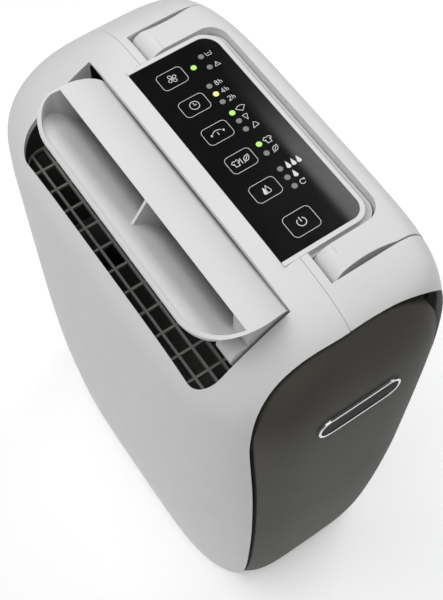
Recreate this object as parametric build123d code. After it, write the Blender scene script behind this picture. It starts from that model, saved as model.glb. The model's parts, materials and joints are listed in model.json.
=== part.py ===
from build123d import *
import math
import os

# Slim desiccant dehumidifier, millimetres, +Z up, front towards -Y.
# The origin lies on the floor, below the middle of the casing.

# ---- casing ----
WALL = 2.8                     # casing skin
SEAM = 0.15                    # half of the joint between the two half shells
SHELL_BOTTOM = 4.0             # the casing hangs this far above the floor
BODY_N = 4.2                   # superellipse exponent of every plan section
CORNER_N = 5.4                 # fuller front right corner
PLAN_POINTS = 32
BODY = (                       # z, left, right, front, back of the casing's plan section
    (0, -82.0, 82.0, -143.0, 156.0),
    (60, -87.5, 87.5, -152.0, 158.5),
    (130, -91.5, 91.5, -156.5, 160.0),
    (210, -93.3, 93.3, -159.0, 160.5),
    (300, -93.5, 93.5, -159.2, 160.5),
    (370, -93.5, 93.5, -159.0, 160.5),
    (400, -92.0, 92.5, -158.0, 159.5),
    (417, -86.0, 90.5, -156.5, 157.0),
    (433, -73.5, 86.5, -153.5, 151.0),
    (449, -53.0, 81.5, -148.0, 139.0),
    (461, -35.0, 75.5, -139.0, 125.0),
    (469, -20.0, 69.0, -120.0, 111.0),
    (471, -13.6, 65.0, -109.0, 102.5),
    (472, -6.0, 59.0, -97.0, 92.0),
)
LEVELS = (                     # heights at which the casing is sectioned
    0, 40, 80, 120, 160, 200, 240, 280, 320, 350, 372, 388, 400, 409, 417, 425, 433, 441,
    449, 455, 461, 465, 469, 471, 472,
)

# ---- air outlet in the left shoulder ----
SLOT = (-84.0, -22.0, -112.0, 107.0)      # left, right, front, back
SLOT_R = 15.0
WELL_RIGHT = -14.4
COLLAR_Z = 435.5
GRILLE_Z = 401.0
GRILLE_T = 3.0
GRILLE_PITCH_X = 10.0
GRILLE_PITCH_Y = 18.4
GRILLE_BAR = 1.7

# ---- swing flap: a drum segment about an axis along Y ----
FLAP_X = -53.0
FLAP_Z = 440.0
FLAP_R = 38.0
FLAP_T = 2.5
FLAP_FRONT = -110.4            # end of the front pin boss
FLAP_BACK = 88.8
FLAP_TIP = -115.9              # the front end flares out this far at the rim
FLAP_CHEEK = (-50.0, 0.0)      # solid cheek on the hinge side of the front end
FLAP_CHEEK_T = 15.0
FLAP_SLANT = 0.5               # the front end wall leans in by this much per unit of depth
FLAP_PIN_R = 1.5
FLAP_RIM = (                   # the rim's plan outline at the front end, from the hinge to the lip
    (-20.2, -109.0), (-31.0, -113.0), (-37.9, -114.8), (-46.0, -115.7), (-54.1, -114.9),
    (-62.7, -111.9), (-71.1, -104.8), (-76.8, -94.0), (-79.0, -80.0),
)
FLAP_RIM_BACK = ((-79.0, 60.0), (-77.6, 73.5), (-73.4, 82.0), (-66.0, 87.2), (-56.0, 88.8))

# ---- control panel ----
BEZEL = (-10.4, 55.2, -89.6, 79.8)
GLASS = (-10.0, 52.0, -86.4, 76.6)
BEZEL_Z = (467.4, 471.9)
GLASS_Z = (469.6, 471.6)
GLASS_BEND = (36.0, 74.0)      # the glass bends down beyond this X, with this radius
LEDGE_Z = 465.5                # ledge between the frame and the handle
PANEL_R = 11.0
BEZEL_R = 13.6
BUTTON_X = 11.0
BUTTON_Y = (59.3, 34.2, 9.1, -16.0, -41.1)
BUTTON_SIZE = (17.4, 12.4, 2.6)
POWER_AT = (15.6, -70.8)
POWER_SIZE = (18.6, 15.2, 2.8)
BUTTON_NAMES = ("fan", "timer", "swing", "laundry", "humidity")
BUTTON_GAP = 0.15
LED_R = 1.9
LED_GREEN = ((26.9, 59.0), (26.9, 16.3), (26.9, -12.1))
LED_AMBER = ((26.9, 34.0),)
LED_OFF = (
    (35.7, 63.7), (35.7, 53.8), (26.9, 41.3), (26.9, 26.7), (26.9, 9.0),
    (26.9, 1.7), (26.9, -20.0), (26.9, -33.9), (26.9, -41.2), (26.9, -48.5),
)

# ---- carrying handle ----
HANDLE = (8.3, -112.0, 104.0)             # left end, front and back outer faces
HANDLE_IN = (60.4, -92.2, 82.4)           # inner faces of the bar and of the two arms
HANDLE_Z = 448.3
HANDLE_PIVOT = (20.0, 460.0)
HANDLE_END_R = 11.7
HANDLE_GAP = 0.9
HANDLE_GAP_END = 2.6           # room beyond the arms' ends, where their tops swing
HANDLE_PIN_R = 3.0
HANDLE_HOLLOW = (9.5, 54.0, 2.6)          # shallow hollow in the arms' outer faces: start, end, depth

# ---- front panel and tank ----
PANEL = (                      # z, how far the panel stands out from the casing's front
    (2, 0.2), (80, 1.4), (200, 2.2), (330, 2.2), (400, 1.0), (440, -1.6), (466, -3.0),
)
PANEL_LEVELS = (2, 40, 80, 120, 160, 200, 240, 280, 320, 350, 375, 395, 410, 425, 440, 452, 460, 466)
PANEL_SIDE = (                 # height, left and right edge of the opening in front view
    (7, -58.0, 60.0), (51, -60.7, 63.0), (115, -63.0, 66.0), (216, -65.4, 69.5),
    (312, -68.0, 72.5), (360, -70.2, 75.0), (385, -70.8, 76.2), (401, -69.9, 76.8),
    (414, -67.2, 76.4), (424, -62.8, 75.0), (433, -56.3, 72.6), (440.5, -48.4, 69.0),
    (447.4, -38.6, 63.5), (453.2, -28.2, 56.0), (457.6, -16.4, 45.0),
)
PANEL_TOP = 460.1
PANEL_T = 2.6
PANEL_BACK = -131.0
PANEL_GAP = 3.0
PANEL_GAP_RIGHT = 7.5          # extra gap on the right
PANEL_NARROW = 5.5             # the panel rounds off towards its edges
PANEL_BOTTOM = 7.0
BADGE_AT = (1.6, 386.0)
BADGE_SIZE = (60.0, 16.0)
BADGE_RIM = 1.9
TANK = (-56.5, 56.5, -127.5, 44.0, 12.0, 138.0)
TANK_T = 2.2
DECK_Z = 152.0

# ---- works ----
AXIS_Z = 272.0                 # shared axis of wheel and fan, parallel to Y
WHEEL_R = 66.0
WHEEL_RIM_R = 69.5
WHEEL_Y = (103.0, 119.0)
ROLLER_R = 8.0
ROLLER_GAP = 0.35
IMPELLER_R = 60.0
IMPELLER_Y = (28.0, 68.0)
BLADES = 28
FEET = ((-58.0, -112.0), (58.0, -112.0), (-58.0, 126.0), (58.0, 126.0))

BUILT = {}


def box(x0, x1, y0, y1, z0, z1):
    """Box between two corners."""
    size = (x1 - x0, y1 - y0, z1 - z0)
    return Pos((x0 + x1) / 2, (y0 + y1) / 2, (z0 + z1) / 2) * Box(*size)


def rounded_prism(x0, x1, y0, y1, z0, z1, radius, corners="all"):
    """Upright prism with rounded vertical edges on all corners, or only left or right."""
    solid = box(x0, x1, y0, y1, z0, z1)
    edges = solid.edges().filter_by(Axis.Z)
    if corners == "left":
        edges = edges.sort_by(Axis.X)[:2]
    if corners == "right":
        edges = edges.sort_by(Axis.X)[-2:]
    return fillet(edges, radius)


def rod_y(x, z, radius, y0, y1):
    """Cylinder along Y."""
    return Pos(x, (y0 + y1) / 2, z) * Rot(90, 0, 0) * Cylinder(radius, y1 - y0)


def rod_x(y, z, radius, x0, x1):
    """Cylinder along X."""
    return Pos((x0 + x1) / 2, y, z) * Rot(0, 90, 0) * Cylinder(radius, x1 - x0)


def rod_z(x, y, radius, z0, z1):
    """Cylinder along Z."""
    return Pos(x, y, (z0 + z1) / 2) * Cylinder(radius, z1 - z0)


def ring_y(x, z, outer, inner, y0, y1):
    """Ring along Y."""
    return rod_y(x, z, outer, y0, y1) - rod_y(x, z, inner, y0 - 1, y1 + 1)


def extrude_xz(points, y0, y1):
    """Prism along Y over a polygon given in X and Z."""
    wire = Polyline([(x, y0, z) for x, z in points], close=True)
    return extrude(make_face(wire), y1 - y0, dir=(0, 1, 0))


def superellipse(left, right, front, back):
    """Points of a superellipse through four extremes, evenly spread in angle."""
    mid_x, half_x = (left + right) / 2, (right - left) / 2
    mid_y, half_y = (front + back) / 2, (back - front) / 2
    points = []
    for step in range(PLAN_POINTS):
        angle = 2 * math.pi * (step + 0.5) / PLAN_POINTS
        c, s = math.cos(angle), math.sin(angle)
        power = CORNER_N if c > 0 > s else BODY_N
        reach = (abs(c) ** power + abs(s) ** power) ** (-1 / power)
        points.append((mid_x + half_x * reach * c, mid_y + half_y * reach * s))
    return points


def shared_knots():
    """Curve parameters shared by all plan sections, from the spacing of a middle one."""
    points = superellipse(*BODY[4][1:])
    lengths = [math.dist(a, b) for a, b in zip(points, points[1:] + points[:1])]
    total, knots = 0.0, [0.0]
    for length in lengths:
        total += length
        knots.append(total)
    return [knot / total for knot in knots]


def plan_section(z, left, right, front, back):
    """Closed plan section of the casing at height z."""
    points = [Vector(x, y, z) for x, y in superellipse(left, right, front, back)]
    edge = Edge.make_spline(points, periodic=True, parameters=shared_knots())
    return Face(Wire([edge]))


def smooth_slopes(table, column):
    """Slopes of a monotone cubic through one column of a table keyed by its first column."""
    z = [row[0] for row in table]
    v = [row[column] for row in table]
    steps = [b - a for a, b in zip(z, z[1:])]
    secants = [(b - a) / h for a, b, h in zip(v, v[1:], steps)]
    slopes = [secants[0]]
    for left, right, h0, h1 in zip(secants, secants[1:], steps, steps[1:]):
        if left * right <= 0:
            slopes.append(0.0)
        else:
            w0, w1 = 2 * h1 + h0, h1 + 2 * h0
            slopes.append((w0 + w1) / (w0 / left + w1 / right))
    return slopes + [secants[-1]]


def profile(table, column, z):
    """Value of one column of a table at height z, by monotone cubic interpolation."""
    slopes = smooth_slopes(table, column)
    index = max(i for i, row in enumerate(table[:-1]) if row[0] <= z)
    low, high = table[index], table[index + 1]
    h = high[0] - low[0]
    t = (z - low[0]) / h
    a = (1 + 2 * t) * (1 - t) ** 2 * low[column] + t * (1 - t) ** 2 * h * slopes[index]
    b = t * t * (3 - 2 * t) * high[column] + t * t * (t - 1) * h * slopes[index + 1]
    return a + b


def body_solid(inset=0.0):
    """The casing's outer volume, or the same volume drawn in by an inset."""
    sections = []
    for z in LEVELS:
        left, right, front, back = [profile(BODY, column, z) for column in (1, 2, 3, 4)]
        lowered = z - inset * min(1.0, max(0.0, (z - 380.0) / 60.0))
        section = (left + inset, right - inset, front + inset, back - inset)
        sections.append(plan_section(lowered, *section))
    return loft(sections)


def panel_solid(offset=0.0):
    """Volume behind the front panel; a positive offset moves its surface inwards."""
    sections = []
    for z in PANEL_LEVELS:
        left, right, front, back = [profile(BODY, column, z) for column in (1, 2, 3, 4)]
        front += offset - profile(PANEL, 1, z)
        left += PANEL_NARROW
        right -= PANEL_NARROW
        sections.append(plan_section(z, left, right, front, back))
    return loft(sections)


def panel_outline(grow, y0, y1, bottom, extra=0.0):
    """Front-view outline of the panel opening, or a smaller or larger one, as a prism."""
    left = [(x - grow, z + grow * (z > 410)) for z, x, _ in PANEL_SIDE]
    right = [(x + grow - extra, z + grow * (z > 410)) for z, _, x in PANEL_SIDE]
    left[0] = (left[0][0], bottom)
    right[0] = (right[0][0], bottom)
    top = [(2.0, PANEL_TOP + grow), (22.0, PANEL_TOP + grow)]
    points = left + top + right[::-1]
    curve = Spline([(x, y0, z) for x, z in points])
    base = Line(curve @ 1, curve @ 0)
    return extrude(make_face(Wire([curve, base])), y1 - y0, dir=(0, 1, 0))


def handle_plan(grow, z0, z1, grow_end=0.0):
    """U in plan: two arms and the bar, as a prism along Z."""
    left, front, back = HANDLE
    x_in, y_in_front, y_in_back = HANDLE_IN
    outer = box(left - grow - grow_end, 120, front - grow, back + grow, z0, z1)
    inner = rounded_prism(
        -20, x_in - grow, y_in_front + grow, y_in_back - grow, z0 - 1, z1 + 1, 13.0, "right"
    )
    return outer - inner


BODY_OUT = body_solid()
BODY_IN = body_solid(WALL)
BODY_CLEAR = body_solid(WALL + 0.35)
PANEL_CUT = panel_outline(0.0, -200.0, -128.0, -20.0)
HANDLE_FLOOR = HANDLE_Z - HANDLE_GAP
RECESS = handle_plan(HANDLE_GAP, HANDLE_FLOOR, 500, HANDLE_GAP_END - HANDLE_GAP)


def slot_prism(grow, z0, z1):
    """The air outlet in plan."""
    left, right, front, back = SLOT
    return rounded_prism(
        left - grow, right, front - grow, back + grow, z0, z1, SLOT_R + grow, "left"
    )


def ledge_ring(inset, z0, z1):
    """Band between the control panel's frame and the handle's recess, right of the joint line."""
    x_in, y_in_front, y_in_back = HANDLE_IN
    left = HANDLE[0] - HANDLE_GAP_END
    island = rounded_prism(
        left - 20, x_in - HANDLE_GAP, y_in_front + HANDLE_GAP, y_in_back - HANDLE_GAP, z0, z1,
        13.0, "right",
    )
    frame = rounded_prism(
        left - 30, BEZEL[1] + 0.1 - inset, BEZEL[2] - 0.1 + inset, BEZEL[3] + 0.1 - inset,
        z0 - 1, z1 + 1, BEZEL_R, "right",
    )
    return (island - frame) & box(left, 200, -200, 200, 0, 600)


def handle_tray():
    """Liner of the handle's recess, with the ledge round the control panel's frame."""
    outer = handle_plan(
        HANDLE_GAP + 2.4, HANDLE_FLOOR - 2.4, 480, HANDLE_GAP_END - HANDLE_GAP
    )
    ledge = ledge_ring(4.0, LEDGE_Z - 4.0, BEZEL_Z[0]) - ledge_ring(0.0, LEDGE_Z, 500)
    tray = (outer - RECESS) & BODY_CLEAR
    tray += ledge
    tray -= ledge_ring(0.0, LEDGE_Z, 500)
    tray -= box(-4, 46, -80, 70, 455, 490)
    for y0, y1 in ((HANDLE[2] - 2, HANDLE[2] + 8), (HANDLE[1] - 8, HANDLE[1] + 2)):
        tray -= rod_y(*HANDLE_PIVOT, HANDLE_PIN_R + 0.05, y0, y1)
    return tray - rounded_prism(
        BEZEL[0] - 0.1, BEZEL[1] + 0.1, BEZEL[2] - 0.1, BEZEL[3] + 0.1, BEZEL_Z[0], 490,
        BEZEL_R, "right",
    )


def casing():
    """Both half shells in one piece, with all openings and inner walls."""
    skin = BODY_OUT - BODY_IN
    skin -= box(-200, 200, -200, 200, -20, SHELL_BOTTOM)
    collar = (slot_prism(2.4, COLLAR_Z, 500) - slot_prism(0, 400, 500)) & BODY_OUT
    collar -= box(-200, -60, -90, 85, 400, 500)
    skin += collar
    _, front, back = HANDLE
    skin -= RECESS
    skin -= slot_prism(0, 380, 500)
    skin -= rounded_prism(
        BEZEL[0] - 0.1, BEZEL[1] + 0.1, BEZEL[2] - 0.1, BEZEL[3] + 0.1, BEZEL_Z[0], 490,
        BEZEL_R, "right",
    )
    skin -= ledge_ring(0.0, LEDGE_Z, 500)
    skin -= box(-4, 46, -80, 70, 455, 490)
    for y0, y1 in ((back - 2, back + 8), (front - 8, front + 2)):
        skin -= rod_y(*HANDLE_PIVOT, HANDLE_PIN_R + 0.05, y0, y1)
    skin -= rod_y(FLAP_X, FLAP_Z, FLAP_PIN_R + 0.05, SLOT[2] - 3.0, SLOT[3] + 3.0)
    sweep = rod_y(FLAP_X, FLAP_Z, FLAP_R + 0.55, SLOT[2] + 0.1, SLOT[3] - 0.1)
    skin -= sweep - box(-200, FLAP_X - 4.0, -200, 200, 300, FLAP_Z + 9.0)
    skin -= PANEL_CUT
    skin -= box(-61.5, 61.5, 140, 200, 171, 389)
    skin -= rod_y(46, 34, 8.2, 140, 200)
    skin -= rod_y(-46, 30, 7.2, 140, 200)
    return skin


def half_shell(whole, side):
    """Left (-1) or right (+1) half of the casing."""
    if side < 0:
        return whole & box(-200, -SEAM, -200, 200, -10, 500)
    return whole & box(SEAM, 200, -200, 200, -10, 500)


def base_plate():
    """Flat floor of the casing, with the recess under the tank left open to the front."""
    plate = BODY_CLEAR & box(-200, 200, -124, 200, 5.0, 8.0)
    for x, y in FEET:
        plate += rod_z(x, y, 6.0, SHELL_BOTTOM, 8.0)
    return plate


def rubber_feet():
    """Four round feet under the base plate."""
    return Part() + [rod_z(x, y, 9.0, 0.0, SHELL_BOTTOM) for x, y in FEET]


def deck():
    """Inner shelf between the tank bay and the works."""
    plate = BODY_CLEAR & box(-200, 200, -122, 143, DECK_Z - 3, DECK_Z)
    return plate - rod_z(0, -20, 9.0, DECK_Z - 10, DECK_Z + 10)


def tank_bulkhead():
    """Upright wall behind the tank."""
    return BODY_CLEAR & box(-200, 200, 48, 51, 8.0, DECK_Z - 3)


def front_frame():
    """Dark inner frame behind the front panel, open where the tank slides in."""
    frame = BODY_CLEAR & box(-200, 200, -126, -123.4, 9.0, 452)
    frame -= box(-64.5, 64.5, -140, -100, 0, 146)
    for z in (200, 270, 340):
        frame -= box(-50, 50, -140, -100, z, z + 40)
    return frame


def outlet_well():
    """Black liner of the air outlet, below the swing flap."""
    left, _, front, back = SLOT
    outer = rounded_prism(
        left - 1.6, WELL_RIGHT + 1.5, front - 1.6, back + 1.6, GRILLE_Z - 2, COLLAR_Z,
        SLOT_R + 1.6, "left",
    )
    inner = rounded_prism(left, WELL_RIGHT, front, back, GRILLE_Z - 10, 500, SLOT_R, "left")
    return (outer - inner) & BODY_CLEAR


def outlet_grille():
    """Flat grid of bars across the outlet well."""
    left, _, front, back = SLOT
    gap = 0.1
    x0, x1, y0, y1 = left + gap, WELL_RIGHT - gap, front + gap, back - gap
    z0, z1 = GRILLE_Z, GRILLE_Z + GRILLE_T
    outline = rounded_prism(x0, x1, y0, y1, z0, z1, SLOT_R - gap, "left")
    grid = outline - rounded_prism(
        x0 + 1.2, x1 - 1.2, y0 + 1.2, y1 - 1.2, z0 - 1, z1 + 1, SLOT_R - 1.3, "left"
    )
    bars = []
    x = left + 8.5
    while x < x1 - 3:
        bars.append(box(x - GRILLE_BAR / 2, x + GRILLE_BAR / 2, y0, y1, z0, z1))
        x += GRILLE_PITCH_X
    y = back - 16.0
    while y > y0 + 3:
        bars.append(box(x0, x1, y - GRILLE_BAR / 2, y + GRILLE_BAR / 2, z0, z1 - 0.6))
        y -= GRILLE_PITCH_Y
    return (grid + bars) & outline & BODY_CLEAR


def flap_vane(offset):
    """Curve of the lower vane from its rim down to its tail, in X and Z."""
    points = ((-79.0, 467.6), (-64.5, 461.8), (-52.0, 451.0), (-43.0, 439.0), (-33.0, 418.0))
    normals = ((-0.45, -0.9), (-0.5, -0.86), (-0.75, -0.66), (-0.86, -0.5), (-0.9, -0.4))
    return [(x + offset * nx, z + offset * nz) for (x, z), (nx, nz) in zip(points, normals)]


def arc_points(radius, start, stop, steps):
    """Points on a circle about the flap's axis, in X and Z."""
    points = []
    for step in range(steps + 1):
        angle = math.radians(start + (stop - start) * step / steps)
        points.append((FLAP_X + radius * math.cos(angle), FLAP_Z + radius * math.sin(angle)))
    return points


def flap_face(radius, start, stop, vane, closing, y):
    """Planar face bounded by an arc about the axis, the vane's curve and straight closings."""
    first, middle, last = arc_points(radius, start, stop, 2)
    edges = [ThreePointArc(*[(x, y, z) for x, z in (first, middle, last)])]
    chain = [last, *closing, vane[0]]
    for a, b in zip(chain, chain[1:]):
        if math.dist(a, b) > 0.01:
            edges.append(Line((a[0], y, a[1]), (b[0], y, b[1])))
    edges.append(Spline([(x, y, z) for x, z in vane]))
    edges.append(Line((vane[-1][0], y, vane[-1][1]), (first[0], y, first[1])))
    return make_face(Wire(edges))


def rim_height(x):
    """Height of the drum's surface above a plan position left of the hinge."""
    return FLAP_Z + math.sqrt(max(FLAP_R**2 - (x - FLAP_X) ** 2, 0.0))


def flap_outline(inset):
    """The rim's plan outline as a prism whose front end leans in with depth."""
    top = FLAP_Z + FLAP_R + 1.0
    deep = 90.0
    fore = []
    for x, y in FLAP_RIM:
        fore.append((x + inset * (x < -40), y + inset - FLAP_SLANT * (top - rim_height(x)), top))
    fore[-1] = (FLAP_RIM[-1][0] + inset, fore[-1][1], top)
    curve = Spline(fore)
    corners = [(fore[-1][0], 160.0, top), (30.0, 160.0, top), (30.0, fore[0][1], top)]
    chain = [curve @ 1, *corners, curve @ 0]
    lines = [Line(a, b) for a, b in zip(chain, chain[1:])]
    slope = Vector(0, FLAP_SLANT, -1)
    front = extrude(make_face(Wire([curve, *lines])), deep * slope.length, dir=slope)
    back = [(x + inset * (x < -70), y - inset, top) for x, y in FLAP_RIM_BACK]
    back[0] = (FLAP_RIM_BACK[0][0] + inset, FLAP_RIM_BACK[0][1], top)
    curve = Spline(back)
    corners = [(30.0, back[-1][1], top), (30.0, -160.0, top), (back[0][0], -160.0, top)]
    chain = [curve @ 1, *corners, curve @ 0]
    lines = [Line(a, b) for a, b in zip(chain, chain[1:])]
    return front & extrude(make_face(Wire([curve, *lines])), deep, dir=(0, 0, -1))


def outlet_flap():
    """Drum-shaped air nozzle: strip, lip, lower vane, flared end walls and middle rib."""
    y0, length = FLAP_TIP - 1.0, FLAP_BACK - FLAP_TIP + 2.0
    body = extrude(flap_face(FLAP_R, -20, 132.8, flap_vane(FLAP_T), [], y0), length, dir=(0, 1, 0))
    cheek = body & box(*FLAP_CHEEK, FLAP_FRONT, FLAP_FRONT + FLAP_CHEEK_T, 380, 500)
    body &= flap_outline(0.0)
    inlet = [(-31.0, 413.0), (-18.6, 418.0)]
    vane = flap_vane(0.0)
    inner = FLAP_R - FLAP_T
    first, middle, last = arc_points(inner, -20, 90, 2)
    y = y0 - 1
    edges = [ThreePointArc(*[(x, y, z) for x, z in (first, middle, last)])]
    chain = [last, (FLAP_X - 1.6, FLAP_Z + 42), (-95.0, FLAP_Z + 42), (-95.0, 469.0), vane[0]]
    for a, b in zip(chain, chain[1:]):
        edges.append(Line((a[0], y, a[1]), (b[0], y, b[1])))
    edges.append(Spline([(x, y, z) for x, z in vane]))
    chain = [vane[-1], *inlet, first]
    for a, b in zip(chain, chain[1:]):
        edges.append(Line((a[0], y, a[1]), (b[0], y, b[1])))
    cavity = extrude(make_face(Wire(edges)), length + 4, dir=(0, 1, 0))
    cavity &= flap_outline(FLAP_T * 0.8)
    middle_y = (FLAP_FRONT + FLAP_BACK) / 2
    rib_points = [
        (FLAP_X, 478), (-64.6, 461.0), (-52, 449), (-43, 437), (-33, 416), (-10, 420), (-10, 478),
    ]
    rib = extrude_xz(rib_points, middle_y - 1, middle_y + 1) & body
    flap = (body - cavity) + rib + cheek
    for y0, y1 in ((FLAP_FRONT, FLAP_FRONT + FLAP_CHEEK_T), (FLAP_BACK - FLAP_T, FLAP_BACK)):
        flap += rod_y(FLAP_X, FLAP_Z, 9.0, y0, y1)
    flap -= rod_y(FLAP_X, FLAP_Z, FLAP_PIN_R, FLAP_FRONT - 5, FLAP_BACK + 5)
    return flap


def flap_pins():
    """Two steel pins the flap turns on."""
    front = rod_y(FLAP_X, FLAP_Z, FLAP_PIN_R, SLOT[2] - 2.3, FLAP_FRONT + FLAP_T)
    back = rod_y(FLAP_X, FLAP_Z, FLAP_PIN_R, FLAP_BACK - FLAP_T, SLOT[3] + 2.3)
    return Part() + [front, back]


def flap_motor():
    """Small geared motor behind the outlet, beside the rear pin."""
    y0 = SLOT[3] + 2.6
    can = rod_y(FLAP_X + 8, FLAP_Z - 12, 12.0, y0, y0 + 14)
    ears = box(FLAP_X - 9, FLAP_X + 25, y0, y0 + 1.8, FLAP_Z - 16, FLAP_Z - 8)
    return (can + ears) & BODY_CLEAR


def outlet_duct():
    """Duct widening from the fan's outlet up to the outlet well."""
    left, _, front, back = SLOT
    z0, z1 = 352.0, GRILLE_Z - 2.2
    low = Plane((0, 0, z0)) * Pos(-49, 48) * Rectangle(50, 50)
    mid_x, mid_y = (left + WELL_RIGHT) / 2, (front + back) / 2
    high = Plane((0, 0, z1)) * Pos(mid_x, mid_y) * Rectangle(WELL_RIGHT - left, back - front)
    low_in = Plane((0, 0, z0)) * Pos(-49, 48) * Rectangle(46.4, 46.4)
    high_in = Plane((0, 0, z1)) * Pos(mid_x, mid_y)
    high_in *= Rectangle(WELL_RIGHT - left - 3.6, back - front - 3.6)
    return (loft([low, high]) - loft([low_in, high_in])) & BODY_CLEAR


def control_bezel():
    """White frame round the control glass on three sides."""
    x0, x1, y0, y1 = BEZEL
    frame = rounded_prism(x0, x1, y0, y1, *BEZEL_Z, BEZEL_R, "right") & glass_bend(BEZEL_Z[1])
    gx0, gx1, gy0, gy1 = GLASS
    frame -= rounded_prism(
        gx0 - 10, gx1 + 0.15, gy0 - 0.15, gy1 + 0.15, GLASS_Z[0] - 1.2, 490, PANEL_R, "right"
    )
    frame -= box(-3.5, 45.5, -79.5, 69.5, 460, 480)
    frame -= box(-20, 100, GLASS[2] - 0.15, GLASS[3] + 0.15, GLASS_Z[1] - 0.8, 490) & box(
        -20, GLASS[0] + 1.0, -200, 200, 460, 490
    )
    return frame


def glass_bend(top):
    """Everything below the control panel's top face, which bends down on the right."""
    x, radius = GLASS_BEND
    flat = box(-50, x, -150, 150, top - 20, top)
    return flat + (rod_y(x, top - radius, radius, -150, 150) & box(x, 100, -150, 150, 300, 500))


def led_points():
    """Centres of all indicator lenses."""
    return LED_GREEN + LED_AMBER + LED_OFF


def button_places():
    """Name, centre and size of each push button."""
    places = []
    for name, y in zip(BUTTON_NAMES, BUTTON_Y):
        places.append((name, BUTTON_X, y, BUTTON_SIZE))
    places.append(("power", *POWER_AT, POWER_SIZE))
    return places


def control_glass():
    """Dark control panel with openings for buttons and indicator lenses."""
    gx0, gx1, gy0, gy1 = GLASS
    z0, z1 = GLASS_Z
    glass = rounded_prism(gx0, gx1, gy0, gy1, z0 - 1.2, z1, PANEL_R - 0.15, "right")
    glass &= glass_bend(z1) - box(gx0 - 1, GLASS_BEND[0], -150, 150, 460, z0)
    for _, x, y, (w, d, r) in button_places():
        glass -= rounded_prism(
            x - w / 2 - BUTTON_GAP, x + w / 2 + BUTTON_GAP,
            y - d / 2 - BUTTON_GAP, y + d / 2 + BUTTON_GAP, 460, 480, r + BUTTON_GAP,
        )
    for x, y in led_points():
        glass -= rod_z(x, y, LED_R + 0.03, 460, 480)
    return glass


def panel_legend():
    """Printed outline round each button."""
    z0 = GLASS_Z[1]
    rings = []
    for _, x, y, (w, d, r) in button_places():
        ring = rounded_prism(
            x - w / 2 - 0.55, x + w / 2 + 0.55, y - d / 2 - 0.55, y + d / 2 + 0.55,
            z0, z0 + 0.1, r + 0.55,
        )
        ring -= rounded_prism(
            x - w / 2 - 0.25, x + w / 2 + 0.25, y - d / 2 - 0.25, y + d / 2 + 0.25,
            z0 - 1, z0 + 1, r + 0.25,
        )
        rings.append(ring)
    return Part() + rings


def button(x, y, size):
    """Push button: flush cap with a short stem."""
    w, d, r = size
    cap = rounded_prism(x - w / 2, x + w / 2, y - d / 2, y + d / 2, GLASS_Z[0], GLASS_Z[1], r)
    return cap + rod_z(x, y, 2.0, 463.4, GLASS_Z[0])


def lenses(points):
    """Indicator lenses, slightly proud of the glass."""
    return Part() + [rod_z(x, y, LED_R, 464.0, GLASS_Z[1] + 0.15) for x, y in points]


def control_board():
    """Circuit board below the control panel, with one switch under each button."""
    board = box(-3, 45, -79, 69, 459.4, 461.0)
    for _, x, y, _ in button_places():
        board += box(x - 3, x + 3, y - 3, y + 3, 461.0, 462.6)
    for x, y in led_points():
        board += box(x - 1.5, x + 1.5, y - 1.5, y + 1.5, 461.0, 463.6)
    return board


def carry_handle():
    """Folding bail that completes the right shoulder of the casing."""
    left, front, back = HANDLE
    bail = handle_plan(0.0, HANDLE_Z, 500) & BODY_OUT
    x_pivot, z_pivot = HANDLE_PIVOT
    for y0, y1 in ((front - 1, HANDLE_IN[1] + 1), (HANDLE_IN[2] - 1, back + 1)):
        corner = box(left - 1, x_pivot, y0, y1, HANDLE_Z - 1, 480)
        bail -= corner - rod_y(x_pivot, z_pivot, HANDLE_END_R, y0 - 1, y1 + 1)
    for y, side in ((front, -1), (back, 1)):
        x0, x1, depth = HANDLE_HOLLOW
        radius = ((x1 - x0) ** 2 / 4 + depth**2) / (2 * depth)
        bail -= rod_z((x0 + x1) / 2, y + side * (radius - depth), radius, HANDLE_Z - 5, 500)
    bail -= rod_y(x_pivot, z_pivot, HANDLE_PIN_R, back - 10, back + 5)
    bail -= rod_y(x_pivot, z_pivot, HANDLE_PIN_R, front - 5, front + 10)
    return bail


def handle_pins():
    """Two steel pivot pins of the handle."""
    _, front, back = HANDLE
    x_pivot, z_pivot = HANDLE_PIVOT
    rear = rod_y(x_pivot, z_pivot, HANDLE_PIN_R, back - 10, back + 3.2)
    fore = rod_y(x_pivot, z_pivot, HANDLE_PIN_R, front - 3.2, front + 10)
    return Part() + [rear, fore]


def front_panel():
    """Bowed dark front of the tank drawer, with two ribs that carry the tank."""
    outer = panel_solid() & panel_outline(
        -PANEL_GAP, -200, PANEL_BACK, PANEL_BOTTOM, PANEL_GAP_RIGHT
    )
    inset = PANEL_GAP + PANEL_T
    hollow = panel_solid(PANEL_T) & panel_outline(
        -inset, -200, -100, PANEL_BOTTOM + PANEL_T, PANEL_GAP_RIGHT
    )
    ribs = box(-42, -38, -170, TANK[2], 30, 130) + box(38, 42, -170, TANK[2], 30, 130)
    return (outer - hollow) + (ribs & panel_solid(1.0))


def badge_outline(grow):
    """Long round-ended outline of the nameplate, facing forwards."""
    length, height = BADGE_SIZE
    width, depth = length + 2 * grow, height + 2 * grow
    return Plane.XZ.offset(120) * Pos(*BADGE_AT) * RectangleRounded(width, depth, depth / 2 - 0.3)


def badge_plate():
    """Oval nameplate, left blank."""
    oval = badge_outline(0.0)
    return (extrude(oval, 80) & panel_solid(-1.1)) - panel_solid(0.0)


def badge_ring():
    """Bright rim round the nameplate."""
    ring = extrude(badge_outline(BADGE_RIM), 80) - extrude(badge_outline(0.1), 80)
    return (ring & panel_solid(-1.7)) - panel_solid(0.0)


def water_tank():
    """Open-topped water tank."""
    x0, x1, y0, y1, z0, z1 = TANK
    t = TANK_T
    outer = rounded_prism(x0, x1, y0, y1, z0, z1, 10.0)
    inner = rounded_prism(x0 + t, x1 - t, y0 + t, y1 - t, z0 + t, z1 + 5, 10.0 - t)
    return outer - inner


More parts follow.
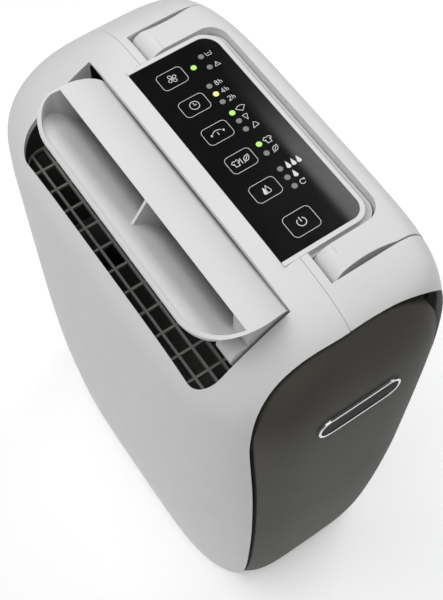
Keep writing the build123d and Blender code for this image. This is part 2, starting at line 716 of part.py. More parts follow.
def tank_lid():
    """Lid of the tank with its drip inlet."""
    x0, x1, y0, y1, _, z1 = TANK
    plate = rounded_prism(x0, x1, y0, y1, z1, z1 + 2.4, 10.0)
    funnel = rod_z(0, -20, 16, z1, z1 + 6) - rod_z(0, -20, 14, z1 - 5, z1 + 10)
    return plate - rod_z(0, -20, 10, z1 - 5, z1 + 10) + funnel


def tank_float():
    """Float on a short arm, hinged inside the tank."""
    block = rounded_prism(-40, -14, 4, 32, 104, 122, 5.0)
    arm = box(-16, 10, 16, 20, 116, 120)
    eye = rod_y(12, 118, 5.0, 15, 21)
    return (block + arm + eye) - rod_y(12, 118, 1.55, 10, 30)


def float_bracket():
    """Fork and pin below the lid that carry the float."""
    cheeks = box(8, 16, 12.4, 14.4, 114, 138) + box(8, 16, 21.6, 23.6, 114, 138)
    return cheeks + rod_y(12, 118, 1.5, 12.4, 23.6)


def rear_cover():
    """Curved louvred cover of the air intake; it carries the filter and pulls off backwards."""
    window = box(-60.9, 60.9, 140, 200, 171.6, 388.4)
    skin = (BODY_OUT - BODY_IN) & window
    rim = window - box(-58.6, 58.6, 130, 210, 173.9, 386.1)
    skin += rim & BODY_OUT & box(-100, 100, 146.2, 200, 0, 500)
    for step in range(15):
        z = 184 + 13 * step
        skin -= box(-52, 52, 140, 200, z, z + 6.5)
    return skin


def filter_frame():
    """Frame of the dust filter."""
    frame = box(-58.2, 58.2, 146.4, 149.4, 174.4, 385.6)
    frame -= box(-54, -1.2, 140, 160, 178, 278.6)
    frame -= box(1.2, 54, 140, 160, 178, 278.6)
    frame -= box(-54, -1.2, 140, 160, 281.4, 381.6)
    frame -= box(1.2, 54, 140, 160, 281.4, 381.6)
    return frame


def filter_mesh():
    """Fine mesh sheet lying on the filter frame."""
    return box(-56, 56, 149.4, 150.0, 176, 384)


def condenser():
    """Stack of flat condensing tubes between two headers."""
    left = box(-66, -60, 126, 142, 172, 372)
    right = box(60, 66, 126, 142, 172, 372)
    tubes = [box(-60, 60, 127, 141, 178 + 16 * n, 182 + 16 * n) for n in range(12)]
    return left + right + tubes


def drip_tray():
    """Shallow tray with a spout that leads the condensate to the tank."""
    tray = box(-70, 70, 124, 142.5, 158, 170) - box(-68, 68, 126, 141, 160, 180)
    channel = box(-8, 8, -26, 126, 153, 163) - box(-6, 6, -24, 130, 155, 180)
    spout = rod_z(0, -20, 4.0, 146, 155) - rod_z(0, -20, 2.8, 140, 160)
    return (tray & BODY_CLEAR) + (channel - rod_z(0, -20, 2.8, 140, 160)) + spout


def wheel_housing():
    """Ring housing of the drying wheel with a spoked bearing."""
    y0, y1 = WHEEL_Y
    housing = box(-75, 75, y0 - 5, y1 + 3, AXIS_Z - 75, AXIS_Z + 75)
    housing -= rod_y(0, AXIS_Z, WHEEL_RIM_R + 1.0, y0 - 10, y1 + 10)
    spokes = box(-72, 72, y0 - 5, y0 - 2.4, AXIS_Z - 2.5, AXIS_Z + 2.5)
    spokes += box(-2.5, 2.5, y0 - 5, y0 - 2.4, AXIS_Z - 72, AXIS_Z + 72)
    spokes += rod_y(0, AXIS_Z, 9.0, y0 - 5, y0 - 2.4)
    housing += spokes
    housing -= rod_y(0, AXIS_Z, 3.05, y0 - 10, y1 + 10)
    angle = math.radians(-45)
    reach = WHEEL_RIM_R + ROLLER_R + ROLLER_GAP
    x_roller, z_roller = reach * math.cos(angle), AXIS_Z + reach * math.sin(angle)
    return housing - rod_y(x_roller, z_roller, ROLLER_R + 1.0, y0 - 10, y1 + 10)


def drying_wheel():
    """Moisture-absorbing wheel with radial passages."""
    y0, y1 = WHEEL_Y
    disc = rod_y(0, AXIS_Z, WHEEL_R, y0, y1)
    for step in range(12):
        slot = Pos(36, 0, 0) * Box(44, 40, 4)
        disc -= Pos(0, (y0 + y1) / 2, AXIS_Z) * Rot(0, 30 * step, 0) * slot
    return disc - rod_y(0, AXIS_Z, 3.0, y0 - 5, y1 + 5)


def wheel_rim():
    """Hoop round the drying wheel that the drive roller runs on."""
    return ring_y(0, AXIS_Z, WHEEL_RIM_R, WHEEL_R, *WHEEL_Y)


def wheel_axle():
    """Axle of the drying wheel."""
    return rod_y(0, AXIS_Z, 3.0, WHEEL_Y[0] - 4.6, WHEEL_Y[1])


def roller_place():
    """Centre of the drive roller in X and Z."""
    angle = math.radians(-45)
    reach = WHEEL_RIM_R + ROLLER_R + ROLLER_GAP
    return reach * math.cos(angle), AXIS_Z + reach * math.sin(angle)


def drive_roller():
    """Rubber-tyred roller that turns the wheel."""
    x, z = roller_place()
    return rod_y(x, z, ROLLER_R, WHEEL_Y[0] + 2, WHEEL_Y[1] - 2) + rod_y(x, z, 2.0, 92, WHEEL_Y[0] + 2)


def drive_motor():
    """Geared motor of the wheel."""
    x, z = roller_place()
    can = rod_y(x, z, 14.0, 80, 94) - rod_y(x, z, 2.05, 91, 100)
    return can & BODY_CLEAR


def heater():
    """Regenerating heater in front of one sector of the wheel."""
    case = box(-4, 62, 86, 95, AXIS_Z + 8, AXIS_Z + 64)
    return case - box(0, 58, 84, 90, AXIS_Z + 12, AXIS_Z + 60)


def fan_scroll():
    """Spiral fan housing with its outlet on the upper left."""
    y0, y1 = IMPELLER_Y[0] - 5, IMPELLER_Y[1] + 5
    drum = rod_y(0, AXIS_Z, 74, y0, y1)
    outlet = box(-74, -24, y0, y1, AXIS_Z, 351.8)
    drum_in = rod_y(0, AXIS_Z, 72, y0 + 2, y1 - 2)
    outlet_in = box(-72, -26, y0 + 2, y1 - 2, AXIS_Z, 360)
    scroll = (drum + outlet) - drum_in - outlet_in
    scroll -= rod_y(0, AXIS_Z, 42, y1 - 5, y1 + 5)
    return scroll - rod_y(0, AXIS_Z, 6.0, y0 - 5, y0 + 5)


def fan_impeller():
    """Drum impeller with a back plate and forward blades."""
    y0, y1 = IMPELLER_Y
    impeller = rod_y(0, AXIS_Z, IMPELLER_R, y0, y0 + 2)
    impeller += ring_y(0, AXIS_Z, IMPELLER_R, IMPELLER_R - 4, y1 - 2, y1)
    blades = []
    for step in range(BLADES):
        blade = Pos(IMPELLER_R - 7, 0, 0) * Rot(0, 30, 0) * Box(11, y1 - y0 - 1, 1.4)
        blades.append(Pos(0, (y0 + y1) / 2, AXIS_Z) * Rot(0, 360 * step / BLADES, 0) * blade)
    impeller += blades
    impeller += rod_y(0, AXIS_Z, 10, y0 + 2, y0 + 20)
    impeller &= rod_y(0, AXIS_Z, IMPELLER_R, y0, y1)
    return impeller - rod_y(0, AXIS_Z, 3.0, y0 - 5, y0 + 30)


def fan_shaft():
    """Shaft from the motor to the impeller."""
    return rod_y(0, AXIS_Z, 3.0, 6.0, IMPELLER_Y[0] + 19)


def fan_motor():
    """Fan motor on its three-armed mount."""
    motor = rod_y(0, AXIS_Z, 32, -24, 16) + rod_y(0, AXIS_Z, 10, 16, 19)
    for angle in (90, 210, 330):
        arm = Pos(48, 17.5, 0) * Box(40, 3, 9)
        motor += Pos(0, 0, AXIS_Z) * Rot(0, angle, 0) * arm
    for angle in (90, 210, 330):
        foot = Pos(66, 20, 0) * Box(5, 6, 9)
        motor += Pos(0, 0, AXIS_Z) * Rot(0, angle, 0) * foot
    return motor - rod_y(0, AXIS_Z, 3.05, 5, 25)


def power_board():
    """Power electronics on an upright board."""
    board = box(64, 66, -100, -30, 190, 330)
    board += box(50, 64, -92, -62, 210, 240)
    board += box(54, 64, -90, -50, 262, 282)
    for y in (-84, -68, -52):
        board += rod_x(y, 306, 6.0, 46, 64)
    return board


def tank_switch():
    """Switch on the bulkhead that feels the seated tank."""
    return box(20, 40, 45.0, 48.0, 100, 116) + box(27, 33, 44.2, 45.0, 105, 111)


def cable_gland():
    """Entry bush for the mains lead."""
    bush = rod_y(46, 34, 8.0, 146, 160.0) + (rod_y(46, 34, 10.5, 142.0, 160.0) & BODY_CLEAR)
    return bush - rod_y(46, 34, 3.6, 140, 170)


def drain_spout():
    """Spout for a permanent drain hose."""
    pipe = rod_y(-46, 30, 7.0, 144, 160.0) + (rod_y(-46, 30, 11.0, 140.0, 160.0) & BODY_CLEAR)
    return pipe - rod_y(-46, 30, 4.6, 140, 170)


def drain_plug():
    """Rubber plug of the drain spout."""
    return rod_y(-46, 30, 4.5, 150, 160.0) + rod_y(-46, 30, 6.4, 160.0, 161.0)


def add(node, shape):
    """Remember a finished node."""
    BUILT[node] = shape


def build():
    """Make every node."""
    whole = casing()
    add("left_shell", half_shell(whole, -1))
    add("right_shell", half_shell(whole, 1))
    add("base_plate", base_plate())
    add("rubber_feet", rubber_feet())
    add("inner_deck", deck())
    add("tank_bulkhead", tank_bulkhead())
    add("front_frame", front_frame())
    add("outlet_well", outlet_well())
    add("outlet_grille", outlet_grille())
    add("outlet_duct", outlet_duct())
    add("outlet_flap", outlet_flap())
    add("flap_pins", flap_pins())
    add("flap_motor", flap_motor())
    add("control_bezel", control_bezel())
    add("control_glass", control_glass())
    add("control_board", control_board())
    add("panel_legend", panel_legend())
    add("lenses_green", lenses(LED_GREEN))
    add("lens_amber", lenses(LED_AMBER))
    add("lenses_off", lenses(LED_OFF))
    for name, x, y, size in button_places():
        add("button_" + name, button(x, y, size))
    add("handle_tray", handle_tray())
    add("carry_handle", carry_handle())
    add("handle_pins", handle_pins())
    add("front_panel", front_panel())
    add("badge_plate", badge_plate())
    add("badge_ring", badge_ring())
    add("water_tank", water_tank())
    add("tank_lid", tank_lid())
    add("tank_float", tank_float())
    add("float_bracket", float_bracket())
    add("rear_cover", rear_cover())
    add("filter_frame", filter_frame())
    add("filter_mesh", filter_mesh())
    add("condenser", condenser())
    add("drip_tray", drip_tray())
    add("wheel_housing", wheel_housing())
    add("drying_wheel", drying_wheel())
    add("wheel_rim", wheel_rim())
    add("wheel_axle", wheel_axle())
    add("drive_roller", drive_roller())
    add("drive_motor", drive_motor())
    add("heater", heater())
    add("fan_scroll", fan_scroll())
    add("fan_impeller", fan_impeller())
    add("fan_shaft", fan_shaft())
    add("fan_motor", fan_motor())
    add("power_board", power_board())
    add("tank_switch", tank_switch())
    add("cable_gland", cable_gland())
    add("drain_spout", drain_spout())
    add("drain_plug", drain_plug())


build()
os.makedirs("parts", exist_ok=True)
for node, shape in BUILT.items():
    export_step(shape, "parts/" + node + ".step")
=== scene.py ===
import json
import math

import bmesh
import bpy
from mathutils import Matrix, Vector


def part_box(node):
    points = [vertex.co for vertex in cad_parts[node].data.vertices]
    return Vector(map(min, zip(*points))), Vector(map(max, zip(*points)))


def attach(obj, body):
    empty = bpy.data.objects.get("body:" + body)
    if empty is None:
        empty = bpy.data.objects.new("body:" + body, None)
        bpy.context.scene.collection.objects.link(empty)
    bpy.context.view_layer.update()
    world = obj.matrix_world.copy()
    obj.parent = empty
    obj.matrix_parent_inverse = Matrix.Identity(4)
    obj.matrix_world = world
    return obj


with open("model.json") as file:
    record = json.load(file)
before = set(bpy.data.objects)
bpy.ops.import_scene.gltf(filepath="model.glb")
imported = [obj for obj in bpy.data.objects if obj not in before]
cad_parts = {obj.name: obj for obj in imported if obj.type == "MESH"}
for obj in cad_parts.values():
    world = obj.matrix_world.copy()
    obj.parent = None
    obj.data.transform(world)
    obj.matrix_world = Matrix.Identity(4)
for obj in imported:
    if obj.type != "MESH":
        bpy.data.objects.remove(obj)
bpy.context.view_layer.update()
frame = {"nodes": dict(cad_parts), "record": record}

RECORD = frame["record"]
NODES = frame["nodes"]
BODY_OF = {n: body for body, names in RECORD["behaviour"]["bodies"].items() for n in names}
MM = 0.001

# ---- camera ----
CAMERA_AT = (-0.214104, -0.313121, 1.006987)
CAMERA_YAW, CAMERA_PITCH, CAMERA_ROLL = (math.radians(a) for a in (35.562, 62.551, 1.080))
CAMERA_LENS = 64.54
SENSOR = 36.0


def make_camera():
    """Camera looking down at the object from its front left."""
    sy, cy = math.sin(CAMERA_YAW), math.cos(CAMERA_YAW)
    sp, cp = math.sin(CAMERA_PITCH), math.cos(CAMERA_PITCH)
    forward = Vector((sy * cp, cy * cp, -sp))
    level = Vector((cy, -sy, 0))
    up = level.cross(forward)
    sr, cr = math.sin(CAMERA_ROLL), math.cos(CAMERA_ROLL)
    right, top = cr * level + sr * up, -sr * level + cr * up
    data = bpy.data.cameras.new("camera")
    data.lens = CAMERA_LENS
    data.sensor_fit = "AUTO"
    data.sensor_width = SENSOR
    data.clip_start, data.clip_end = 0.05, 20
    camera = bpy.data.objects.new("camera", data)
    turn = Matrix((right, top, -forward)).transposed().to_4x4()
    camera.matrix_world = Matrix.Translation(CAMERA_AT) @ turn
    bpy.context.scene.collection.objects.link(camera)
    bpy.context.scene.camera = camera


# ---- materials ----
NOISE_RANGE = (0.3, 0.7)


def shader(name, color, rough, metallic=0.0, **sockets):
    """New material with a Principled shader; returns it with its tree and shader node."""
    material = bpy.data.materials.new(name)
    material.use_nodes = True
    tree = material.node_tree
    principled = tree.nodes["Principled BSDF"]
    principled.inputs["Base Color"].default_value = (*color, 1)
    principled.inputs["Roughness"].default_value = rough
    principled.inputs["Metallic"].default_value = metallic
    for socket, value in sockets.items():
        principled.inputs[socket.replace("_", " ")].default_value = value
    return material, tree, principled


def noise(tree, coords, scale, detail=2.0, roughness=0.5):
    """Noise texture over object coordinates, scale in cells per metre."""
    node = tree.nodes.new("ShaderNodeTexNoise")
    node.inputs["Scale"].default_value = scale
    node.inputs["Detail"].default_value = detail
    node.inputs["Roughness"].default_value = roughness
    tree.links.new(coords.outputs["Object"], node.inputs["Vector"])
    return node


def ramp(tree, source, low, high, at=NOISE_RANGE):
    """Colour ramp between two colours."""
    node = tree.nodes.new("ShaderNodeValToRGB")
    node.color_ramp.elements[0].position, node.color_ramp.elements[1].position = at
    node.color_ramp.elements[0].color = (*low, 1)
    node.color_ramp.elements[1].color = (*high, 1)
    tree.links.new(source, node.inputs["Fac"])
    return node


def spread(tree, source, low, high):
    """Map a noise value onto a range."""
    node = tree.nodes.new("ShaderNodeMapRange")
    node.inputs["From Min"].default_value, node.inputs["From Max"].default_value = NOISE_RANGE
    node.inputs["To Min"].default_value = low
    node.inputs["To Max"].default_value = high
    tree.links.new(source, node.inputs["Value"])
    return node


TONE_CELLS = 14.0
GLOSS_CELLS = 60.0
GRAIN_STRENGTH = 0.35


def moulded(name, color, rough, grain=900.0, depth=0.00002, tint=0.02, metallic=0.0, patch=0.1,
            **sockets):
    """Moulded plastic: fine grain, slow drift of tone, patchy gloss."""
    material, tree, principled = shader(name, color, rough, metallic, **sockets)
    coords = tree.nodes.new("ShaderNodeTexCoord")
    slow = noise(tree, coords, TONE_CELLS, 3.0)
    low = tuple(max(0.0, c * (1 - tint)) for c in color)
    high = tuple(min(1.0, c * (1 + tint)) for c in color)
    tone = ramp(tree, slow.outputs["Fac"], low, high)
    tree.links.new(tone.outputs["Color"], principled.inputs["Base Color"])
    patchy = noise(tree, coords, GLOSS_CELLS, 4.0, 0.6)
    gloss = spread(tree, patchy.outputs["Fac"], rough * (1 - patch), rough * (1 + patch))
    tree.links.new(gloss.outputs["Result"], principled.inputs["Roughness"])
    fine = noise(tree, coords, grain, 2.0, 0.55)
    bump = tree.nodes.new("ShaderNodeBump")
    bump.inputs["Strength"].default_value = GRAIN_STRENGTH
    bump.inputs["Distance"].default_value = depth
    tree.links.new(fine.outputs["Fac"], bump.inputs["Height"])
    tree.links.new(bump.outputs["Normal"], principled.inputs["Normal"])
    return material


def make_materials():
    """One finished material for each slot of the record."""
    return {
        "casing_white": moulded("casing_white", (0.635, 0.637, 0.64), 0.5, 1400, 0.00003, 0.012,
                                Specular_IOR_Level=0.32),
        "flap_white": moulded("flap_white", (0.625, 0.627, 0.63), 0.55, 1400, 0.00003, 0.012,
                              Specular_IOR_Level=0.25),
        "panel_graphite": moulded("panel_graphite", (0.066, 0.063, 0.054), 0.5, 5200, 0.00003, 0.015,
                                  patch=0.02, Specular_IOR_Level=0.08),
        "control_black": moulded("control_black", (0.0035, 0.0035, 0.0038), 0.2, 300, 0.000004, 0.1,
                                 Specular_IOR_Level=0.5),
        "legend_white": moulded("legend_white", (0.66, 0.66, 0.66), 0.5, 3000, 0.00001),
        "lens_green": moulded("lens_green", (0.40, 0.82, 0.16), 0.3, 900, 0.00001,
                              Emission_Color=(0.42, 1.0, 0.16, 1), Emission_Strength=0.3),
        "lens_amber": moulded("lens_amber", (0.85, 0.8, 0.3), 0.3, 900, 0.00001,
                              Emission_Color=(1.0, 0.92, 0.4, 1), Emission_Strength=0.2),
        "lens_grey": moulded("lens_grey", (0.22, 0.22, 0.215), 0.3, 900, 0.00001),
        "badge_black": moulded("badge_black", (0.007, 0.007, 0.007), 0.45, 900, 0.00001,
                               Specular_IOR_Level=0.06),
        "badge_chrome": moulded("badge_chrome", (0.72, 0.73, 0.74), 0.2, 900, 0.000004, metallic=1.0),
        "grille_black": moulded("grille_black", (0.02, 0.0195, 0.018), 0.5, 1200, 0.00004),
        "grille_grey": moulded("grille_grey", (0.15, 0.146, 0.135), 0.48, 1200, 0.00004),
        "frame_grey": moulded("frame_grey", (0.045, 0.045, 0.045), 0.5, 1200, 0.00005),
        "tank_clear": moulded("tank_clear", (0.62, 0.68, 0.72), 0.25, 800, 0.00002),
        "inner_grey": moulded("inner_grey", (0.35, 0.36, 0.37), 0.5, 1200, 0.00005),
        "foot_rubber": moulded("foot_rubber", (0.035, 0.035, 0.035), 0.75, 1500, 0.00008),
        "steel": moulded("steel", (0.62, 0.62, 0.63), 0.28, 3000, 0.00001, metallic=1.0),
        "condenser_plastic": moulded("condenser_plastic", (0.72, 0.74, 0.76), 0.4, 900, 0.00003),
        "filter_cloth": moulded("filter_cloth", (0.2, 0.21, 0.22), 0.85, 2500, 0.0002),
        "wheel_media": moulded("wheel_media", (0.55, 0.53, 0.48), 0.85, 2000, 0.0003),
        "board_green": moulded("board_green", (0.05, 0.22, 0.1), 0.4, 700, 0.00004),
    }


def dress(nodes, materials):
    """Give each CAD node the finished material of its slot."""
    slots = {part["node"]: part["material_slot"] for part in RECORD["subparts"]}
    for name, node in nodes.items():
        node.data.materials.clear()
        node.data.materials.append(materials[slots[name]])


# ---- soft edges ----
SOFT_WIDTHS = {"left_shell": 1.1, "right_shell": 1.1, "outlet_flap": 0.8, "control_bezel": 0.7,
               "carry_handle": 1.2, "front_panel": 1.0, "badge_ring": 0.2, "badge_plate": 0.2}
SOFT_STEPS = 3
SHARP_ANGLE = math.radians(38)
WELD_REACH = 0.01 * MM


def soften(node, width):
    """Small rounding on sharp edges of a moulded piece."""
    weld = node.modifiers.new("weld", "WELD")
    weld.merge_threshold = WELD_REACH
    bevel = node.modifiers.new("bevel", "BEVEL")
    bevel.width = width
    bevel.segments = SOFT_STEPS
    bevel.limit_method = "ANGLE"
    bevel.angle_limit = SHARP_ANGLE
    bevel.use_clamp_overlap = True
    bevel.harden_normals = False
    normals = node.modifiers.new("normals", "WEIGHTED_NORMAL")
    normals.keep_sharp = False


# ---- stage ----
LIGHTS = (
    ("key", (-0.36, 0.16, 1.22), (-0.2, 0.16, 0.1), (1.0, 0.8), 7.8),
    ("side", (0.95, 0.05, 1.18), (0.35, 0.05, 0.3), (1.0, 0.84), 7.5),
)
SKY_DARK = (0.35, 0.45, 0.82)
SKY_LOW = 0.12
SKY_STRENGTH = 0.3
FLOOR_REACH = 6.0
FLOOR_PALE = (0.95, 0.95, 0.95)
FLOOR_GLOW = 0.34


def make_world():
    """Soft sky, darker towards one side of the zenith."""
    world = bpy.data.worlds.new("studio")
    world.use_nodes = True
    tree = world.node_tree
    coords = tree.nodes.new("ShaderNodeTexCoord")
    facing = tree.nodes.new("ShaderNodeVectorMath")
    facing.operation = "DOT_PRODUCT"
    facing.inputs[1].default_value = Vector(SKY_DARK).normalized()
    tree.links.new(coords.outputs["Generated"], facing.inputs[0])
    tone = ramp(tree, facing.outputs["Value"], (1, 1, 1), (SKY_LOW,) * 3, (0.25, 0.95))
    background = tree.nodes["Background"]
    tree.links.new(tone.outputs["Color"], background.inputs["Color"])
    background.inputs["Strength"].default_value = SKY_STRENGTH
    bpy.context.scene.world = world


def make_stage():
    """Pale floor and soft studio light."""
    mesh = bpy.data.meshes.new("floor")
    corners = [(x * FLOOR_REACH, y * FLOOR_REACH, 0) for x, y in ((-1, -1), (1, -1), (1, 1), (-1, 1))]
    mesh.from_pydata(corners, [], [(0, 1, 2, 3)])
    floor = bpy.data.objects.new("floor", mesh)
    bpy.context.scene.collection.objects.link(floor)
    material, _, _ = shader("floor_pale", FLOOR_PALE, 0.9, Specular_IOR_Level=0.1,
                            Emission_Color=(1, 1, 1, 1), Emission_Strength=FLOOR_GLOW)
    mesh.materials.append(material)
    make_world()
    for name, place, target, size, power in LIGHTS:
        light = bpy.data.lights.new(name, "AREA")
        light.shape = "RECTANGLE"
        light.size, light.size_y = size
        light.energy = power
        lamp = bpy.data.objects.new(name, light)
        lamp.location = place
        lamp.rotation_euler = (Vector(target) - Vector(place)).to_track_quat("-Z", "Y").to_euler()
        bpy.context.scene.collection.objects.link(lamp)


# ---- printed symbols ----
GLASS_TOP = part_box("control_glass")[1].z / MM
PRINT_TOP = GLASS_TOP + 0.05
INK = 0.06                     # thickness of the print
LENS_NODES = ("lenses_green", "lens_amber", "lenses_off")


def arc(cx, cy, radius, start, end, steps=14):
    """Points along an arc, angles in degrees."""
    angles = [math.radians(start + (end - start) * i / steps) for i in range(steps + 1)]
    return [(cx + radius * math.cos(a), cy + radius * math.sin(a)) for a in angles]


def drop(cx, cy, size):
    """Outline of a water drop."""
    low = arc(cx, cy - 0.25 * size, 0.38 * size, 200, 340, 12)
    return low + [(cx + 0.16 * size, cy + 0.22 * size), (cx, cy + 0.62 * size),
                  (cx - 0.16 * size, cy + 0.22 * size)]


def shirt(cx, cy, size):
    """Outline of a T-shirt."""
    shape = [(-0.3, -0.5), (0.3, -0.5), (0.3, 0.08), (0.46, -0.02), (0.62, 0.22), (0.28, 0.5),
             (0.14, 0.4), (-0.14, 0.4), (-0.28, 0.5), (-0.62, 0.22), (-0.46, -0.02), (-0.3, 0.08)]
    return [(cx + size * x, cy + size * y) for x, y in shape]


def leaf(cx, cy, size):
    """Outline of a leaf."""
    blade = [(-0.5, -0.45), (-0.42, 0.1), (-0.1, 0.42), (0.5, 0.5), (0.44, 0.0), (0.15, -0.36),
             (-0.28, -0.42)]
    return [(cx + size * x, cy + size * y) for x, y in blade]


def digit(kind, cx, cy, size):
    """Strokes of the digit 2, 4 or 8."""
    if kind == 8:
        low = arc(cx, cy - 0.26 * size, 0.26 * size, 90, 450, 18)
        return [(low, True), (arc(cx, cy + 0.22 * size, 0.21 * size, -90, 270, 18), True)]
    if kind == 4:
        shape = [(0.14, -0.5), (0.14, 0.5), (-0.3, -0.22), (0.32, -0.22)]
        return [([(cx + size * x, cy + size * y) for x, y in shape], False)]
    curve = arc(cx, cy + 0.2 * size, 0.27 * size, 160, -35, 12)
    return [(curve + [(cx - 0.27 * size, cy - 0.47 * size), (cx + 0.29 * size, cy - 0.47 * size)],
             False)]


def hour(cx, cy, size):
    """Strokes of the unit sign for hours."""
    bow = arc(cx, cy - 0.12 * size, 0.2 * size, 160, 0, 8)
    return [([(cx - 0.2 * size, cy + 0.5 * size), (cx - 0.2 * size, cy - 0.5 * size)], False),
            (bow + [(cx + 0.2 * size, cy - 0.5 * size)], False)]


def ribbon(bm, points, width, closed, z):
    """Flat raised stroke along a polyline, with mitred corners."""
    count = len(points)
    if closed and math.dist(points[0], points[-1]) < 1e-6:
        points, count = points[:-1], count - 1
    rims = []
    for i, (x, y) in enumerate(points):
        before = points[i - 1] if closed or i else None
        after = points[(i + 1) % count] if closed or i < count - 1 else None
        turns = []
        for a, b in ((before, (x, y)), ((x, y), after)):
            if a is not None and b is not None:
                along = Vector((b[0] - a[0], b[1] - a[1])).normalized()
                turns.append(Vector((-along.y, along.x)))
        side = sum(turns, Vector((0, 0))).normalized()
        stretch = min(1 / max(side.dot(turns[0]), 0.3), 2.2) * width / 2
        rims.append(((x + side.x * stretch, y + side.y * stretch),
                     (x - side.x * stretch, y - side.y * stretch)))
    rings = []
    for left, right in rims:
        rings.append([bm.verts.new((px * MM, py * MM, pz * MM)) for px, py, pz in (
            (*left, z), (*right, z), (*right, z - INK), (*left, z - INK))])
    pairs = list(zip(rings, rings[1:])) + ([(rings[-1], rings[0])] if closed else [])
    for a, b in pairs:
        for i in range(4):
            j = (i + 1) % 4
            bm.faces.new((a[i], a[j], b[j], b[i]))
    if not closed:
        bm.faces.new(rings[0][::-1])
        bm.faces.new(rings[-1])


def slab(bm, points, z):
    """Flat raised patch inside an outline."""
    top = [bm.verts.new((x * MM, y * MM, z * MM)) for x, y in points]
    low = [bm.verts.new((x * MM, y * MM, (z - INK) * MM)) for x, y in points]
    bm.faces.new(top)
    bm.faces.new(low[::-1])
    for i in range(len(points)):
        j = (i + 1) % len(points)
        bm.faces.new((top[i], low[i], low[j], top[j]))


def symbol(name, strokes, fills, body, z=PRINT_TOP, width=0.42):
    """One printed symbol as a thin mesh piece that moves with its body."""
    bm = bmesh.new()
    for points, closed in strokes:
        ribbon(bm, points, width, closed, z)
    for points in fills:
        slab(bm, points, z)
    bmesh.ops.recalc_face_normals(bm, faces=bm.faces)
    mesh = bpy.data.meshes.new(name)
    bm.to_mesh(mesh)
    bm.free()
    mesh.materials.append(MATERIALS["legend_white"])
    piece = bpy.data.objects.new(name, mesh)
    bpy.context.scene.collection.objects.link(piece)
    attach(piece, body)
    return piece


def centre(node):
    """Middle of a node's box in plan, in millimetres."""
    low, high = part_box(node)
    return (low[0] + high[0]) / 2 / MM, (low[1] + high[1]) / 2 / MM


def lens_places():
    """Middle of each indicator lens in plan, from the back to the front, in millimetres."""
    places = set()
    for name in LENS_NODES:
        bm = bmesh.new()
        bm.from_mesh(NODES[name].data)
        loose = set(bm.verts)
        while loose:
            part = [loose.pop()]
            for vert in part:
                joined = {edge.other_vert(vert) for edge in vert.link_edges} & loose
                loose -= joined
                part.extend(joined)
            spans = [[vert.co[axis] / MM for vert in part] for axis in (0, 1)]
            places.add(tuple(round((min(span) + max(span)) / 2, 2) for span in spans))
        bm.free()
    return sorted(places, key=lambda place: -place[1])


def blades(cx, cy, size):
    """Four fan blades."""
    outline = [(0.08, 0.0), (0.3, -0.12), (0.52, -0.04), (0.6, 0.12), (0.5, 0.3), (0.34, 0.32),
               (0.2, 0.16)]
    shapes = []
    for turn in (10, 100, 190, 280):
        c, d = math.cos(math.radians(turn)), math.sin(math.radians(turn))
        shapes.append([(cx + size * (x * c - y * d), cy + size * (x * d + y * c))
                       for x, y in outline])
    return shapes


def sector(cx, cy, size, start, end):
    """Outline of a swing sector."""
    return [(cx, cy)] + arc(cx, cy, size, start, end, 10)


def print_keys():
    """Symbols printed on the six keys."""
    x, y = centre("button_fan")
    strokes = [(shape, True) for shape in blades(x, y, 5.6)]
    symbol("mark_fan", strokes, [], BODY_OF["button_fan"], width=0.38)
    x, y = centre("button_timer")
    hands = [(x, y + 2.0), (x, y), (x + 1.6, y)]
    symbol("mark_timer", [(arc(x, y, 3.1, 0, 360, 30), True), (hands, False)], [],
           BODY_OF["button_timer"])
    x, y = centre("button_swing")
    sweep = arc(x, y - 2.6, 4.6, 35, 145, 18)
    tips = [[(x - 5.1, y + 0.3), (x - 2.9, y + 0.9), (x - 4.4, y - 1.3)],
            [(x + 5.1, y + 0.3), (x + 4.4, y - 1.3), (x + 2.9, y + 0.9)]]
    symbol("mark_swing", [(sweep, False), ([(x, y - 1.9), (x, y + 0.6)], False)], tips,
           BODY_OF["button_swing"])
    x, y = centre("button_laundry")
    vein = [(x + 1.2, y - 2.5), (x + 5.0, y + 1.2)]
    parts = [(shirt(x - 3.6, y, 4.6), True), ([(x, y - 2.2), (x, y + 2.2)], False),
             (leaf(x + 3.8, y, 4.2), True), (vein, False)]
    symbol("mark_laundry", parts, [], BODY_OF["button_laundry"])
    x, y = centre("button_humidity")
    symbol("mark_humidity", [(drop(x + 1.3, y, 4.4), True)], [drop(x - 0.9, y - 0.3, 4.4)],
           BODY_OF["button_humidity"])
    x, y = centre("button_power")
    symbol("mark_power", [(arc(x, y, 2.9, 125, 415, 30), False), ([(x, y + 3.6), (x, y)], False)],
           [], BODY_OF["button_power"], width=0.5)


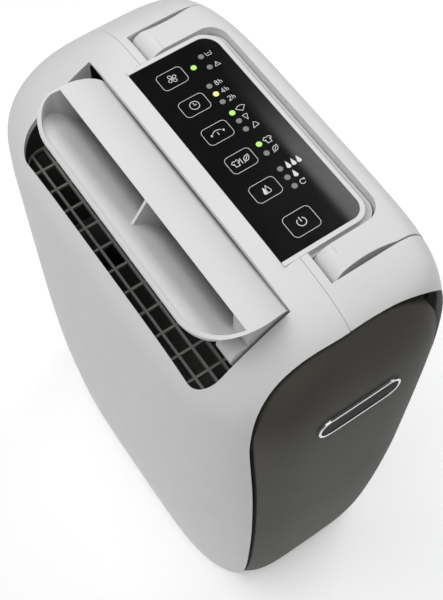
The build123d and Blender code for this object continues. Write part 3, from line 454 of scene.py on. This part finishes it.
def print_signs():
    """Symbols beside the indicator lenses, each placed from its own lens."""
    body = BODY_OF["control_glass"]
    (full, _, warning, eight, four, two, wide, low, high,
     laundry, saving, wet, dry, auto) = lens_places()
    x, y = full
    tray = [(x + 3.4, y + 1.5), (x + 3.9, y - 1.5), (x + 7.1, y - 1.5), (x + 7.6, y + 1.5)]
    symbol("sign_tank_full", [(tray, False), ([(x + 4.6, y + 0.3), (x + 6.4, y + 0.3)], False)], [],
           body, width=0.36)
    x, y = warning
    triangle = [(x + 3.5, y - 1.5), (x + 7.3, y - 1.5), (x + 5.4, y + 1.8)]
    symbol("sign_warning", [(triangle, True), ([(x + 5.4, y + 0.6), (x + 5.4, y - 0.6)], False)], [],
           body, width=0.34)
    for number, (x, y) in ((8, eight), (4, four), (2, two)):
        strokes = digit(number, x + 5.2, y, 3.6) + hour(x + 8.0, y, 3.6)
        symbol("sign_hours_%d" % number, strokes, [], body, width=0.4)
    arcs = ((wide, 42, 138), (low, 68, 112), (high, 8, 62))
    for index, ((x, y), start, end) in enumerate(arcs):
        outline = sector(x + 6.6 - index, y - 2.0, 4.4, start, end)
        symbol("sign_swing_%d" % (index + 1), [(outline, True)], [], body, width=0.36)
    x, y = laundry
    symbol("sign_laundry", [(shirt(x + 6.6, y, 4.8), True)], [], body, width=0.4)
    x, y = saving
    vein = [(x + 4.1, y - 2.4), (x + 7.9, y + 1.3)]
    symbol("sign_saving", [(leaf(x + 6.6, y, 4.2), True), (vein, False)], [], body, width=0.36)
    drops = [(wet, 0.0), (wet, 3.9), (wet, 7.8), (dry, 0.0)]
    for index, ((x, y), step) in enumerate(drops):
        symbol("sign_drop_%d" % (index + 1), [], [drop(x + 5.6 + step, y + 0.2, 4.4)], body)
    x, y = auto
    ring = arc(x + 6.0, y, 1.7, 30, 330, 20)
    tip = [(x + 8.3, y + 0.4), (x + 6.5, y + 1.1), (x + 7.9, y + 2.1)]
    symbol("sign_auto", [(ring, False)], [tip], body, width=0.42)


MATERIALS = make_materials()
dress(NODES, MATERIALS)
for name, width in SOFT_WIDTHS.items():
    soften(NODES[name], width * MM)
print_keys()
print_signs()
make_stage()
make_camera()
bpy.context.scene.view_settings.view_transform = "Standard"
